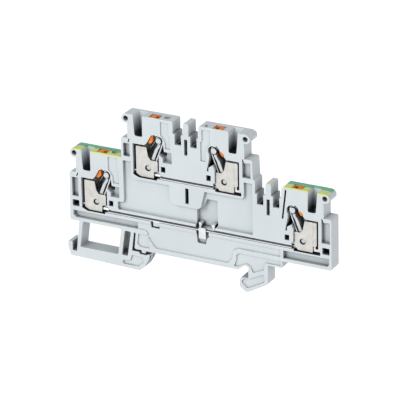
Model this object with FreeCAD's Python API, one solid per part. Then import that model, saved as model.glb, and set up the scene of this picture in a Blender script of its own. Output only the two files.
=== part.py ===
import FreeCAD, Part
import math
import os
from collections import namedtuple

from FreeCAD import Vector

# Two-level push-in terminal block for a 35 mm rail. Millimetres.
# X runs along the block, Y through its thickness with the open face at -Y, and Z is up.
# The origin is the middle of the rail seat, halfway through the thickness.

# Overall body
THICKNESS = 5.1
BACK_WALL = 0.9
LOWER_HOLE_Z = 28.45
LEVEL_RISE = 14.46
LOWER_LEFT_X = -41.68
UPPER_LEFT_X = -23.29
UPPER_RIGHT_X = 17.08
LOWER_RIGHT_X = 43.10
TOP_RISE = 1.55
LEFT_UNDERSIDE = 5.85
RIGHT_UNDERSIDE = 5.6

# Outer column beside each clamping point
MARKER_HOLE_R = 0.85
BOSS_R = 1.5
COLUMN_OUT_LEFT = 1.85
COLUMN_OUT_RIGHT = 2.1
NECK_IN = 0.42
SHOULDER_DROP = 6.4
COLUMN_PANEL_DEPTH = 1.5
COLUMN_PANEL_HALF = 1.12

# Rail foot
RAIL_WIDTH = 35.0
RAIL_SIDE_GAP = 0.1
RAIL_FLANGE = 1.1
HOOK_GAP = 2.2
FOOT_DEPTH = 6.9
LEG_SPLAY = 1.2
LEG_WIDTH = 1.1

# Clamping point, measured inwards (u) and upwards (w) from its marker hole; its inner half keeps to the eye
EYE_U = 10.84
EYE_W = -5.75
EYE_POCKET_R = 1.75
EYE_PIN_R = 0.88
EYE_PIN_RECESS = 0.4
FUNNEL_OUT = 2.95
FUNNEL_IN = 5.6
FUNNEL_FLARE = 0.6
FUNNEL_FLOOR = -5.2
WIRE_HOLE_INSET = 0.35
CAVITY_OUT = 2.15
CAVITY_GAP_LEFT = 0.8
CAVITY_GAP_RIGHT = 0.15
CAVITY_ROOF = -7.7
CAVITY_FLOOR = -18.65
TAIL_ROOM = 0.65
RIB_WIDTH = 1.0
RIB_RECESS = 1.15
RIB_SETOFF = 1.3
CAGE_PIN_SETOFF_LEFT = 3.36
CAGE_PIN_SETOFF_RIGHT = 2.72
CAGE_PIN_W = -15.37
CAGE_PIN_R = 0.68
CAGE_PIN_RECESS = 0.5

# Metal parts
CAGE_SHEET = 0.4
CAGE_RECESS = 0.6
CAGE_OUT = 2.95
CAGE_SETOFF = 0.54
CAGE_TOP = -8.6
CAGE_SHOULDER = -12.65
CAGE_PIN_GAP = 0.32
CAGE_NOTCH = 1.33
CAGE_DROP = 0.27
BAR_THICKNESS = 0.75
BAR_RECESS = 0.3
BAR_LEVEL = -18.1
BAR_FLOOR_GAP = 0.05
BAR_STEP = 0.4
BAR_ROOF_GAP = 0.35
BAR_RISE = 7.6
BAR_WIDE_START = 0.8
BAR_TAIL_GAP = 0.1
BAR_RAISED_OUT = 4.8
BAR_RAISED_IN = 8.4
SPRING_SHEET = 0.34
SPRING_GAP = 0.1
CLAMP_LEG_TILT = 33.0
CLAMP_LEG_INSET = 1.3
STAY_LEG_FOOT = -12.74
METAL_SIDE_GAP = 0.1

# Release button
BUTTON_SETOFF = 3.29
BUTTON_LENGTH = 3.6
BUTTON_GAP = 0.12
BUTTON_FRONT_WALL = 0.45
BUTTON_WIDTH = 2.8
BUTTON_TRAVEL = 1.6
BUTTON_SINK = 0.2
BUTTON_LEDGE = -3.9
STEM_SETOFF = 1.9
NOSE_SETOFF = 3.64
NOSE_FOOT = -7.1

# Bridge shafts beside the middle post of each level
BRIDGE_UPPER_X = -2.92
BRIDGE_LOWER_X = 24.46
BRIDGE_HALF_PITCH = 2.65
BRIDGE_WIDTH = 2.2
BRIDGE_MOUTH_EXTRA = 0.6
BRIDGE_FLOOR_DROP = 5.8
BRIDGE_STEP_DROP = 2.35
BRIDGE_WELL_WIDTH = 1.6

# Clip and lug on the lower bar
CLIP_X = 3.5
CLIP_LENGTH = 5.0
LUG_X = -13.85
LUG_LENGTH = 1.9

# Front face relief
TEST_HOLE_R = 1.15
TEST_HOLE_DEPTH = 5.6
TEST_HOLE_SETOFF = 2.26
FIELD_DEPTH = 1.1
TROUGH_DEPTH = 1.6
RELIEF_DEPTH = 0.4
PANEL_DEPTH = 0.35

FRONT = -THICKNESS / 2
POCKET = THICKNESS - BACK_WALL
UPPER_HOLE_Z = LOWER_HOLE_Z + LEVEL_RISE
CAGE_IN = EYE_U - CAGE_SETOFF
CAVITY_IN_LEFT = CAGE_IN + CAVITY_GAP_LEFT
CAVITY_IN_RIGHT = CAGE_IN + CAVITY_GAP_RIGHT
BUTTON_OUT = EYE_U - BUTTON_SETOFF
BUTTON_IN = BUTTON_OUT + BUTTON_LENGTH
STEM_IN = EYE_U - STEM_SETOFF
NOSE_OUT = EYE_U - NOSE_SETOFF
BAR_BED = BAR_LEVEL - BAR_FLOOR_GAP
BAR_TOP = BAR_LEVEL + BAR_THICKNESS
BAR_ROOF = BAR_TOP + BAR_ROOF_GAP
CAGE_FLOOR = BAR_LEVEL - CAGE_DROP
CAGE_BACK = POCKET - METAL_SIDE_GAP
INNER_FRONT = CAGE_RECESS + CAGE_SHEET + METAL_SIDE_GAP
INNER_BACK = CAGE_BACK - CAGE_SHEET - METAL_SIDE_GAP
CONTACT_U = CAGE_OUT + CAGE_SHEET + 0.2 + BAR_THICKNESS / 2
SPRING_R = EYE_PIN_R + SPRING_GAP + SPRING_SHEET / 2
STAY_LEG_U = CAGE_IN - CAGE_SHEET - METAL_SIDE_GAP - SPRING_SHEET / 2
STAY_LEG_TOP = EYE_W - 1.05
STAY_LEG_BEND = EYE_U + SPRING_R - 0.08

Station = namedtuple("Station", "name x z side lower")
STATIONS = [
    Station("lower_left", LOWER_LEFT_X, LOWER_HOLE_Z, 1, True),
    Station("upper_left", UPPER_LEFT_X, UPPER_HOLE_Z, 1, False),
    Station("upper_right", UPPER_RIGHT_X, UPPER_HOLE_Z, -1, False),
    Station("lower_right", LOWER_RIGHT_X, LOWER_HOLE_Z, -1, True),
]
LOWER_LEFT, UPPER_LEFT, UPPER_RIGHT, LOWER_RIGHT = STATIONS


def block(x0, x1, d0, d1, z0, z1):
    """A box from x0 to x1 and z0 to z1, between two depths behind the open face."""
    return Part.makeBox(x1 - x0, d1 - d0, z1 - z0, Vector(x0, FRONT + d0, z0))


def pin_y(x, z, radius, d0, d1):
    """A round pin across the thickness, between two depths."""
    return Part.makeCylinder(radius, d1 - d0, Vector(x, FRONT + d0, z), Vector(0, 1, 0))


def corner(before, point, after, radius):
    """The start, middle and end of the arc that rounds one corner of an outline."""
    p = Vector(point[0], 0, point[1])
    a = Vector(before[0], 0, before[1]).sub(p)
    b = Vector(after[0], 0, after[1]).sub(p)
    half = a.getAngle(b) / 2
    run = min(radius / math.tan(half), 0.45 * a.Length, 0.45 * b.Length)
    a.normalize()
    b.normalize()
    middle = a.add(b)
    middle.normalize()
    rounded = run * math.tan(half)
    reach = rounded / math.sin(half) - rounded
    return p.add(a.multiply(run)), p.add(middle.multiply(reach)), p.add(b.multiply(run))


def prism(points, d0, d1):
    """An outline of (x, z) or (x, z, corner radius) points, between two depths."""
    edges = []
    start = None
    last = None
    count = len(points)
    for i, point in enumerate(points):
        if len(point) == 3:
            near, middle, far = corner(points[i - 1], point, points[(i + 1) % count], point[2])
            arc = Part.Arc(near, middle, far).toShape()
        else:
            near = far = Vector(point[0], 0, point[1])
            arc = None
        if last is not None:
            edges.append(Part.makeLine(last, near))
        else:
            start = near
        if arc is not None:
            edges.append(arc)
        last = far
    edges.append(Part.makeLine(last, start))
    face = Part.Face(Part.Wire(edges))
    face.translate(Vector(0, FRONT + d0, 0))
    return face.extrude(Vector(0, d1 - d0, 0))


def strip(path, sheet, d0, d1):
    """A flat strip bent along a path of (x, z) points, with round bends."""
    parts = []
    for (x0, z0), (x1, z1) in zip(path, path[1:]):
        length = math.hypot(x1 - x0, z1 - z0)
        nx = -(z1 - z0) / length * sheet / 2
        nz = (x1 - x0) / length * sheet / 2
        corners = [(x0 + nx, z0 + nz), (x1 + nx, z1 + nz), (x1 - nx, z1 - nz), (x0 - nx, z0 - nz)]
        parts.append(prism(corners, d0, d1))
    for x, z in path[1:-1]:
        parts.append(pin_y(x, z, sheet / 2, d0, d1))
    return parts[0].fuse(parts[1:]).removeSplitter()


def placed(shape, station):
    """A clamping point's own shape, turned to its side of the block and set at its marker hole."""
    shape = shape.copy()
    if station.side < 0:
        shape = shape.mirror(Vector(0, 0, 0), Vector(1, 0, 0))
    shape.translate(Vector(station.x, 0, station.z))
    return shape


def at(station, u, w):
    """The place in the block of a point given inwards and upwards from a marker hole."""
    return station.x + station.side * u, station.z + w


def column_points(station):
    """The outline of one outer column from its shoulder up to the tower top, going upwards."""
    out = COLUMN_OUT_LEFT if station.side > 0 else COLUMN_OUT_RIGHT
    return [
        (*at(station, -out, -SHOULDER_DROP), 0.5),
        at(station, NECK_IN, -SHOULDER_DROP),
        at(station, NECK_IN, 0),
        at(station, 0, TOP_RISE),
    ]


def bridge_points(centre, top):
    """The outline of the two bridge shafts and the post between them, from left to right."""
    floor = top - BRIDGE_FLOOR_DROP - TOP_RISE
    step = top - BRIDGE_STEP_DROP - TOP_RISE
    half = BRIDGE_WIDTH / 2
    points = []
    for middle in (centre - BRIDGE_HALF_PITCH, centre + BRIDGE_HALF_PITCH):
        points += [
            (middle - half - BRIDGE_MOUTH_EXTRA, top, 0.4),
            (middle - half - BRIDGE_MOUTH_EXTRA, step),
            (middle - half, step),
            (middle - half, floor, 0.25),
            (middle + half, floor, 0.25),
            (middle + half, step),
            (middle + half + BRIDGE_MOUTH_EXTRA, step),
            (middle + half + BRIDGE_MOUTH_EXTRA, top, 0.4),
        ]
    return points


def hook_points():
    """The fixed hook that takes the right edge of the rail, from its outer side inwards."""
    rail_edge = RAIL_WIDTH / 2 + RAIL_SIDE_GAP
    return [
        (rail_edge + 11.4, RIGHT_UNDERSIDE),
        (rail_edge + 11.4, RIGHT_UNDERSIDE - 2.3, 0.4),
        (rail_edge + 6.5, RIGHT_UNDERSIDE - 2.3),
        (rail_edge + 6.5, -FOOT_DEPTH + 3.8, 0.8),
        (rail_edge - 0.6, -FOOT_DEPTH - 0.2, 1.2),
        (rail_edge - 3.1, -FOOT_DEPTH + 1.6, 1.2),
        (rail_edge - 2.9, -HOOK_GAP - 0.3, 0.6),
        (rail_edge, -HOOK_GAP, 0.2),
        (rail_edge, 1.4, 0.5),
        (rail_edge - 1.3, 1.7, 0.5),
        (rail_edge - 3.3, 0, 0.5),
    ]


def foot_points():
    """The sprung foot on the left: its slit, jaw, bar and release lug, going outwards."""
    rail_edge = -RAIL_WIDTH / 2 - RAIL_SIDE_GAP
    slit_top = LEFT_UNDERSIDE - 0.3
    return [
        (rail_edge + 3.0, 0),
        (rail_edge, 0),
        (rail_edge, -0.75, 0.2),
        (rail_edge - 1.25, -0.75, 0.2),
        (rail_edge - 1.35, 0.1),
        (rail_edge - 3.8, 0.1, 0.4),
        (rail_edge - 3.25, slit_top, 0.25),
        (rail_edge - 3.9, slit_top, 0.25),
        (rail_edge - 4.75, -RAIL_FLANGE + 0.35, 0.3),
        (rail_edge - 2.3, -RAIL_FLANGE + 0.35, 0.2),
        (rail_edge - 2.0, -RAIL_FLANGE - 0.3, 0.2),
        (rail_edge + 0.3, -RAIL_FLANGE - 0.3),
        (rail_edge + 0.6, -RAIL_FLANGE),
        (rail_edge + 1.3, -RAIL_FLANGE, 0.15),
        (rail_edge + 0.7, -RAIL_FLANGE - 2.1, 1.0),
        (rail_edge - 0.5, -FOOT_DEPTH + 1.6, 1.0),
        (rail_edge - 2.0, -FOOT_DEPTH, 0.4),
        (LOWER_LEFT_X - 2.4, -FOOT_DEPTH + 0.6, 0.8),
        (LOWER_LEFT_X - 3.27, -FOOT_DEPTH + 3.4, 1.0),
        (LOWER_LEFT_X - 3.27, -FOOT_DEPTH + 5.3, 0.3),
        (LOWER_LEFT_X - 1.72, -FOOT_DEPTH + 5.3, 0.2),
        (LOWER_LEFT_X - 1.72, -FOOT_DEPTH + 2.3, 0.2),
        (LOWER_LEFT_X - 0.17, -FOOT_DEPTH + 2.3, 0.2),
        (LOWER_LEFT_X + 0.93, LEFT_UNDERSIDE),
        (LOWER_LEFT_X - COLUMN_OUT_LEFT - 0.35, LEFT_UNDERSIDE, 0.8),
    ]


def body_outline():
    """The whole side view of the moulding, clockwise from the lower left column."""
    low_top = LOWER_HOLE_Z + TOP_RISE
    high_top = UPPER_HOLE_Z + TOP_RISE
    upper_left_edge = UPPER_LEFT_X - COLUMN_OUT_LEFT
    points = column_points(LOWER_LEFT)
    points += [(upper_left_edge, low_top)]
    points += column_points(UPPER_LEFT)
    points += bridge_points(BRIDGE_UPPER_X, high_top)
    points += column_points(UPPER_RIGHT)[::-1]
    column_edge = UPPER_RIGHT_X + COLUMN_OUT_RIGHT + 0.3
    shaft_edge = BRIDGE_LOWER_X - BRIDGE_HALF_PITCH - BRIDGE_WIDTH / 2
    points += [
        (column_edge, low_top + 0.5),
        (shaft_edge - BRIDGE_MOUTH_EXTRA, low_top),
    ]
    points += bridge_points(BRIDGE_LOWER_X, low_top)[1:]
    points[-1] = (points[-1][0], low_top - 0.7)
    points += [(points[-1][0] + 0.7, low_top)]
    points += column_points(LOWER_RIGHT)[::-1]
    points += [(LOWER_RIGHT_X + COLUMN_OUT_RIGHT + 0.1, RIGHT_UNDERSIDE, 0.5)]
    points += hook_points()
    points += foot_points()
    return points


def foot_windows():
    """The two slanted openings between the legs of the sprung foot."""
    top = LEFT_UNDERSIDE
    low = -FOOT_DEPTH + 4.0
    outer = LOWER_LEFT_X + 2.28
    inner = -RAIL_WIDTH / 2 - 8.5
    window = [(outer, top, 0.3), (inner, top, 0.3),
              (inner - LEG_SPLAY, low, 0.4), (outer - LEG_SPLAY, low, 0.3)]
    near = inner + LEG_WIDTH + 0.2
    slot = [(near, top - 0.3, 0.4), (near + 2.2, top - 0.3, 0.4),
            (near + 0.85, low + 0.1, 0.4), (near - LEG_SPLAY, low + 0.1, 0.4)]
    return [prism(window, 0, THICKNESS), prism(slot, 0, THICKNESS)]


def jaw_grooves():
    """Two grooves moulded in the side of the jaw that grips the rail."""
    tip = -RAIL_WIDTH / 2 - RAIL_SIDE_GAP + 1.3
    outline = [(tip + 0.4, -RAIL_FLANGE - 0.6), (tip - 0.7, -RAIL_FLANGE - 0.6),
               (tip - 1.1, -RAIL_FLANGE - 2.3), (tip - 2.6, -FOOT_DEPTH + 1.2), (tip - 1.2, -FOOT_DEPTH + 0.8)]
    return [prism(outline, 0.9, 2.1), prism(outline, 2.8, 4.1)]


def station_cavity(station):
    """The open pocket of one clamping point, in its own inward and upward distances."""
    roof = (CAVITY_OUT, CAVITY_ROOF, 0.15)
    ledge = (EYE_U - 1.24, BUTTON_LEDGE + 0.1)
    if station.side > 0:
        outer = [roof, (EYE_U - 4.74, CAVITY_ROOF), (EYE_U - 3.79, CAVITY_ROOF + 0.9, 0.4),
                 (EYE_U - 2.34, BUTTON_LEDGE - 0.35, 0.5), ledge]
        inner = [(EYE_U + EYE_POCKET_R, EYE_W), (EYE_U + 2.11, EYE_W - 3.1),
                 (EYE_U + 2.11, CAGE_SHOULDER + 1.65), (EYE_U + 1.56, CAGE_SHOULDER + 1.65),
                 (CAVITY_IN_LEFT, CAGE_SHOULDER + 2.75), (CAVITY_IN_LEFT, -15.8)]
        foot = [(4.1, CAVITY_FLOOR, 0.4), (CAVITY_OUT, CAVITY_FLOOR + 0.85, 0.2)]
    else:
        outer = [roof, (EYE_U - 4.4, CAVITY_ROOF), (EYE_U - 3.75, EYE_W - 1.15, 0.3),
                 (EYE_U - 3.72, EYE_W - 0.4, 0.3), (EYE_U - 3.0, EYE_W + 0.25), (EYE_U - 2.35, EYE_W + 0.45),
                 (EYE_U - 1.9, EYE_W + 1.3, 0.3), ledge]
        inner = [(EYE_U + 1.4, EYE_W), (EYE_U + 1.4, EYE_W - 2.5),
                 (EYE_U + 2.21, CAGE_SHOULDER + 0.15), (EYE_U + 1.61, CAGE_SHOULDER + 0.15),
                 (EYE_U + 1.56, CAGE_SHOULDER + 1.45), (CAVITY_IN_RIGHT + 0.65, CAGE_SHOULDER + 2.3),
                 (CAVITY_IN_RIGHT, CAGE_SHOULDER + 0.95), (CAVITY_IN_RIGHT, -15.8)]
        tail_out = CAVITY_OUT - TAIL_ROOM
        foot = [(tail_out, CAVITY_FLOOR, 0.2), (tail_out, BAR_ROOF, 0.1), (CAVITY_OUT, BAR_ROOF)]
    low = [(CAGE_IN, -15.9), (CAGE_IN, CAVITY_FLOOR)]
    pocket = prism(outer + inner + low + foot, 0, POCKET)
    return pocket.fuse(pin_y(EYE_U, EYE_W, EYE_POCKET_R, 0, POCKET))


def wire_funnel():
    """The funnel that leads a wire down, and the covered hole below it into the cavity."""
    mouth = [(FUNNEL_OUT - FUNNEL_FLARE, TOP_RISE + 1), (FUNNEL_IN, TOP_RISE + 1),
             (FUNNEL_IN, FUNNEL_FLOOR, 0.5), (FUNNEL_OUT, FUNNEL_FLOOR, 0.7)]
    funnel = prism(mouth, 0, POCKET - 0.2)
    hole = block(FUNNEL_OUT + WIRE_HOLE_INSET, FUNNEL_IN - WIRE_HOLE_INSET / 2, 1.0, POCKET - 0.5,
                 CAVITY_ROOF - 0.5, FUNNEL_FLOOR + 0.5)
    return funnel.fuse(hole)


def button_channel():
    """The guide of the release button, from the tower top down into the cavity."""
    deep = BUTTON_FRONT_WALL + BUTTON_WIDTH + 2 * BUTTON_GAP
    low = CAVITY_ROOF - 0.1
    nose_side = NOSE_OUT - BUTTON_GAP
    outline = [(BUTTON_OUT, TOP_RISE + 1), (BUTTON_IN, TOP_RISE + 1), (BUTTON_IN, BUTTON_LEDGE),
               (STEM_IN + 2 * BUTTON_GAP, BUTTON_LEDGE), (STEM_IN + 2 * BUTTON_GAP, low), (nose_side, low),
               (nose_side, low + 1.7), (BUTTON_OUT, low + 2.3)]
    return prism(outline, BUTTON_FRONT_WALL, deep)


def cage_pin_u(station):
    """The inward distance of the pin that holds one cage."""
    return CAGE_IN - (CAGE_PIN_SETOFF_LEFT if station.side > 0 else CAGE_PIN_SETOFF_RIGHT)


def spring_rib():
    """The rib that runs from the eye pin down between the two legs of the spring, beside the staying leg."""
    foot = CAGE_SHOULDER + 0.15
    waist = EYE_W - 3.35
    slope = (STAY_LEG_BEND - STAY_LEG_U) / (STAY_LEG_TOP - STAY_LEG_FOOT)
    waist_u = STAY_LEG_U + slope * (waist - STAY_LEG_FOOT) - RIB_SETOFF
    foot_u = STAY_LEG_U + slope * (foot - STAY_LEG_FOOT) - RIB_SETOFF
    half = RIB_WIDTH / 2
    outline = [(EYE_U - 0.3, EYE_W - 0.4), (EYE_U + 0.45, EYE_W - 0.4), (EYE_U + 0.2, EYE_W - 2.05),
               (waist_u + half, waist), (foot_u + half, foot, 0.2), (foot_u - half, foot, 0.2),
               (waist_u - half, waist), (EYE_U - 0.7, EYE_W - 2.05)]
    return prism(outline, RIB_RECESS, THICKNESS)


def column_relief(station):
    """The slit, panel and, on the lower level, the square recess of one outer column."""
    bottom = -14.45 if station.lower else -12.45
    half = COLUMN_PANEL_HALF
    if station.side > 0:
        square_out = -half
        square_top = -15.6
        cuts = [
            prism([(0.85, -6.45), (1.25, -6.45), (0.85, -7.7), (0.45, -7.7)], 0, POCKET),
            prism([(-half, -8.1, 0.2), (half, -8.1, 0.2), (half, bottom, 0.2), (-half, bottom, 0.2)],
                  0, COLUMN_PANEL_DEPTH),
        ]
    else:
        square_out = -half - 0.42
        square_top = -15.8
        cuts = [
            prism([(half, bottom, 0.2), (half, -6.5), (half - 0.25, -6.5), (half - 0.77, -7.7),
                   (-half - 0.28, -7.4, 0.5), (-half - 0.55, -8.2), (-half - 0.55, bottom, 0.2)],
                  0, COLUMN_PANEL_DEPTH),
        ]
    if station.lower:
        square_in = square_out + 2.4
        square_foot = square_top - 2.2
        cuts.append(prism([(square_out, square_top, 0.35), (square_in, square_top, 0.35),
                           (square_in, square_foot, 0.35), (square_out, square_foot, 0.35)], 0, 3.2))
    return cuts


def tower_relief(station):
    """The marker hole, small window, shallow panel and test hole of one tower."""
    cuts = [
        pin_y(0, 0, MARKER_HOLE_R, 0, POCKET),
        prism([(EYE_U + 0.86, -13.75, 0.15), (EYE_U + 2.41, -13.75, 0.15),
               (EYE_U + 2.41, -15.6, 0.15), (EYE_U + 0.86, -15.6, 0.15)], 0, POCKET),
    ]
    if station is LOWER_RIGHT:
        cuts.append(prism([(EYE_U + 1.66, 0.65, 0.1), (EYE_U + 2.26, 0.65, 0.1),
                           (EYE_U + 3.36, -8.85, 0.1), (EYE_U + 2.76, -8.85, 0.1)], 0, POCKET))
    else:
        foot = -9.6 if station is UPPER_RIGHT else -7.75
        far = EYE_U + (4.26 if station is LOWER_LEFT else 3.76)
        cuts.append(prism([(EYE_U + 0.91, 0.7), (far, 0.7), (far, -3.1), (far + 0.45, -3.4),
                           (far + 0.45, foot), (EYE_U + 2.56, foot), (EYE_U + 2.36, -5.5, 0.5),
                           (EYE_U + 0.91, -3.5, 0.5)], 0, PANEL_DEPTH))
    if station.side > 0:
        hole_foot = Vector(EYE_U + TEST_HOLE_SETOFF, FRONT + THICKNESS / 2, TOP_RISE - TEST_HOLE_DEPTH)
        cuts.append(Part.makeCylinder(TEST_HOLE_R, TEST_HOLE_DEPTH, hole_foot))
        near = EYE_U + 1.56
        cuts.append(prism([(near, -8.75), (near + 3.1, -8.75, 0.2),
                           (near + 3.1, -12.4, 0.2), (near, -12.4, 0.2)], 0, 2.0))
    elif not station.lower:
        cuts.append(block(EYE_U + 2.36, EYE_U + 3.26, 1.0, 2.2, TOP_RISE - 2.0, TOP_RISE))
    return cuts


def stay_leg_path():
    """The middle line of the spring's staying leg, from the eye down to the cage's inner wall."""
    return [(EYE_U + SPRING_R, EYE_W), (STAY_LEG_BEND, STAY_LEG_TOP), (STAY_LEG_U, STAY_LEG_FOOT),
            (STAY_LEG_U, STAY_LEG_FOOT - 1.9)]


def station_cuts(station):
    """Everything that is open in the moulding at one clamping point."""
    leg_room = strip(stay_leg_path(), SPRING_SHEET + SPRING_GAP, INNER_FRONT, POCKET)
    cuts = [station_cavity(station), leg_room, wire_funnel(), button_channel()]
    cuts += column_relief(station)
    cuts += tower_relief(station)
    return [placed(cut, station) for cut in cuts]


def bar_channel(left, right):
    """The channel between two cavities that holds one current bar."""
    kink = CAGE_IN - 0.1
    points = [
        at(left, kink, -15.9), at(left, kink + 1.1, -16.2), at(left, kink + 2.1, BAR_ROOF),
        at(right, kink + 0.8, BAR_ROOF), at(right, kink + 0.8, -16.1), at(right, kink, -15.9),
        at(right, kink, BAR_BED), at(left, kink, BAR_BED),
    ]
    return prism(points, 0, POCKET)


def bridge_cuts(centre, top, bar_top):
    """The wells under the bridge shafts, down to the current bar, and the slot in the post."""
    floor = top - BRIDGE_FLOOR_DROP - TOP_RISE
    step = top - BRIDGE_STEP_DROP - TOP_RISE
    half = BRIDGE_WELL_WIDTH / 2
    cuts = [prism([(centre - 0.55, floor + 2.3, 0.2), (centre + 0.55, floor + 2.3, 0.2),
                   (centre + 0.55, floor - 2.9, 0.2), (centre - 0.55, floor - 2.9, 0.2)], 0, POCKET)]
    for middle in (centre - BRIDGE_HALF_PITCH, centre + BRIDGE_HALF_PITCH):
        cuts.append(block(middle - half, middle + half, 0.8, POCKET - 0.4, bar_top, step))
    return cuts


def middle_field():
    """The wide sunk field between the levels, around the raised pad, and the pocket in it."""
    top = UPPER_HOLE_Z - 13.9
    ledge = UPPER_HOLE_Z + BAR_BED - 1.25
    low = LOWER_HOLE_Z + BAR_ROOF + 0.85
    left = UPPER_LEFT_X - COLUMN_OUT_LEFT + 0.45
    right = UPPER_RIGHT_X + COLUMN_OUT_RIGHT + 0.1
    field = prism([
        (left, top, 0.2), (UPPER_LEFT_X + 1.4, top, 0.2), (UPPER_LEFT_X + 1.4, ledge, 1.2),
        (UPPER_RIGHT_X - 0.7, ledge, 1.2), (UPPER_RIGHT_X - 0.7, top, 0.2), (right, top, 0.2),
        (right, low, 0.3), (left - 2.2, low, 0.3), (left - 2.2, low + 2.6, 0.3), (left, low + 2.8, 0.8),
    ], 0, FIELD_DEPTH)
    pad_foot = ledge - 6.1
    slot_foot = pad_foot + 1.0
    pad = prism([(CLIP_X - 12.4, ledge + 0.1), (CLIP_X - 11.9, pad_foot, 1.6), (CLIP_X - 1.9, pad_foot, 1.6),
                 (CLIP_X - 0.4, ledge + 0.1)], 0, FIELD_DEPTH)
    slot = prism([(BRIDGE_UPPER_X - 0.53, ledge, 0.2), (BRIDGE_UPPER_X + 0.67, ledge, 0.2),
                  (BRIDGE_UPPER_X + 0.67, slot_foot, 0.2), (BRIDGE_UPPER_X - 0.53, slot_foot, 0.2)], 0, POCKET)
    bar_roof = LOWER_HOLE_Z + BAR_ROOF - 0.1
    pocket_top = pad_foot + 3.44
    pocket = prism([(CLIP_X - 3.6, pad_foot - 0.05), (CLIP_X - 2.4, pad_foot - 0.05, 0.8),
                    (CLIP_X - 1.2, slot_foot, 0.8), (CLIP_X - 0.1, pocket_top),
                    (CLIP_X + 3.45, pocket_top, 0.3), (CLIP_X + 3.6, bar_roof + 1.6),
                    (CLIP_X + 2.8, bar_roof), (CLIP_X - 3.6, bar_roof)], 0, 2.7)
    return [field.cut(pad), slot, pocket]


def base_relief():
    """The troughs and sunk fields below the lower bar, on the foot and on the hook."""
    top = LOWER_HOLE_Z + BAR_BED - 1.0
    left_floor = LEFT_UNDERSIDE + 1.05
    right_floor = RIGHT_UNDERSIDE + 1.05
    edge = RAIL_WIDTH / 2 + RAIL_SIDE_GAP
    left_end = LOWER_LEFT_X - 1.0
    right_end = LOWER_RIGHT_X + 1.35
    trough_end = edge + 11.7
    relief_end = edge + 10.8
    hook_top = RIGHT_UNDERSIDE - 0.1
    jaw_top = -RAIL_FLANGE - 1.1
    barb_top = -HOOK_GAP - 1.2
    barb_low = barb_top - 0.35 * (FOOT_DEPTH - HOOK_GAP - 2.4)
    return [
        prism([(left_end, top, 0.2), (-edge - 2.6, top), (-edge - 2.6, left_floor),
               (left_end + 0.8, left_floor), (left_end, left_floor + 0.8)], 0, TROUGH_DEPTH),
        prism([(trough_end, top), (right_end, top, 0.2), (right_end, right_floor + 0.6),
               (right_end - 0.6, right_floor), (trough_end, right_floor)], 0, TROUGH_DEPTH),
        prism([(-edge - 2.7, top), (-edge - 2.7, left_floor), (-edge + 0.4, left_floor, 1.0),
               (-edge + 1.6, 4.0, 2.0), (-edge + 3.5, 1.5, 1.5), (edge - 6.8, 1.5, 1.5), (edge - 5.3, 3.4, 1.5),
               (edge - 5.0, right_floor - 0.65, 1.0), (edge - 3.4, right_floor + 0.25, 1.0),
               (relief_end, right_floor + 0.25), (relief_end, top)], 0, RELIEF_DEPTH),
        prism([(-edge - 2.4, LEFT_UNDERSIDE - 0.35, 0.4), (-edge + 1.2, LEFT_UNDERSIDE - 0.35, 0.3),
               (-edge + 1.4, 1.1, 0.3), (-edge - 1.7, 1.1, 0.6), (-edge - 2.8, 2.0, 0.3)], 0, RELIEF_DEPTH),
        prism([(edge - 3.1, hook_top, 0.6), (edge + 10.9, hook_top, 0.2), (edge + 10.9, hook_top - 1.6, 0.2),
               (edge + 5.6, hook_top - 1.6, 0.6), (edge + 5.3, 1.5), (edge + 1.5, -0.3, 0.6),
               (edge + 0.8, 1.6, 0.5), (edge - 0.6, 2.4, 0.5), (edge - 3.6, 0.9), (edge - 4.8, 1.0),
               (edge - 4.0, 3.1), (edge - 4.0, hook_top - 0.8)], 0, RELIEF_DEPTH),
        prism([(edge - 2.3, barb_top, 0.5), (edge - 1.4, barb_top + 0.8, 0.5), (edge + 0.2, barb_top + 1.0),
               (edge + 5.3, 0.0, 0.4), (edge + 5.5, barb_top + 0.8, 0.8), (edge - 0.4, -FOOT_DEPTH + 1.2, 0.5),
               (edge - 2.1, barb_low, 0.6)], 0, RELIEF_DEPTH),
        prism([(-edge - 4.8, jaw_top, 0.3), (-edge - 0.8, jaw_top, 0.3), (-edge - 0.7, jaw_top - 1.8, 0.5),
               (-edge - 2.6, -FOOT_DEPTH + 1.2, 0.5), (-edge - 7.6, -FOOT_DEPTH + 1.2, 0.5),
               (-edge - 8.3, -FOOT_DEPTH + 1.9, 0.4), (-edge - 7.6, -FOOT_DEPTH + 2.6, 0.4),
               (-edge - 5.4, -FOOT_DEPTH + 2.8, 0.6)], 0, RELIEF_DEPTH),
    ]


def contact_recesses():
    """The recesses below the lower bar for the lug of the bar and the tongue of the contact."""
    top = LOWER_HOLE_Z + BAR_BED + 0.2
    far = LUG_X + LUG_LENGTH / 2 + 0.2
    near = LUG_X - LUG_LENGTH / 2 - 0.8
    return [
        prism([(near, top), (far, top), (far, top - 2.3), (near, top - 2.3, 0.2)], 0, 1.4),
        prism([(CLIP_X - 3.5, top), (CLIP_X + 1.0, top), (CLIP_X + 0.7, top - 1.9), (CLIP_X + 0.2, top - 2.3),
               (CLIP_X - 0.3, top - 4.4, 0.5), (CLIP_X - 3.2, top - 4.4, 0.5)], 0, 1.4),
    ]


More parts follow.
